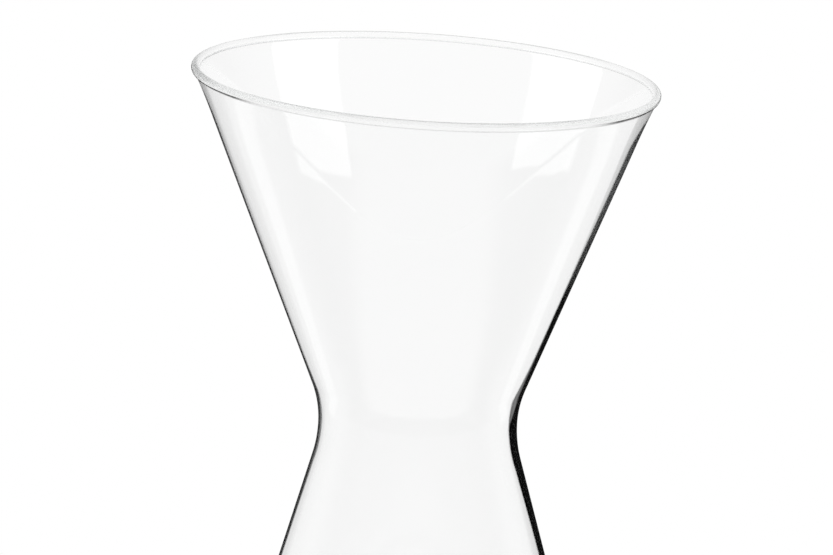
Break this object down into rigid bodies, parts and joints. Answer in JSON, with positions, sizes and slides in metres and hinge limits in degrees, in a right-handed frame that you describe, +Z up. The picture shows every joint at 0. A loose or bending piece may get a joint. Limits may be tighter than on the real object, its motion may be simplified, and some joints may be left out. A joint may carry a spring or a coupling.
{
  "type": "water carafe",
  "caption": "Clear blown-glass carafe with a wide body, a narrow waist to hold it by and a flared, slightly slanted mouth to pour from, for serving water.",
  "frame": {"origin": "middle of the foot, on the surface that the carafe stands on", "axes": "+Z up along the carafe's axis, -X towards the high side of the slanted mouth"},
  "size_m": [0.1444, 0.1444, 0.2719],
  "materials": {
    "clear_glass": "clear, smooth, fire-polished at the lip"
  },
  "bodies": {
    "root": {"base": "clear_glass", "body": "clear_glass", "waist": "clear_glass", "funnel": "clear_glass", "rim": "clear_glass"}
  },
  "joints": []
}
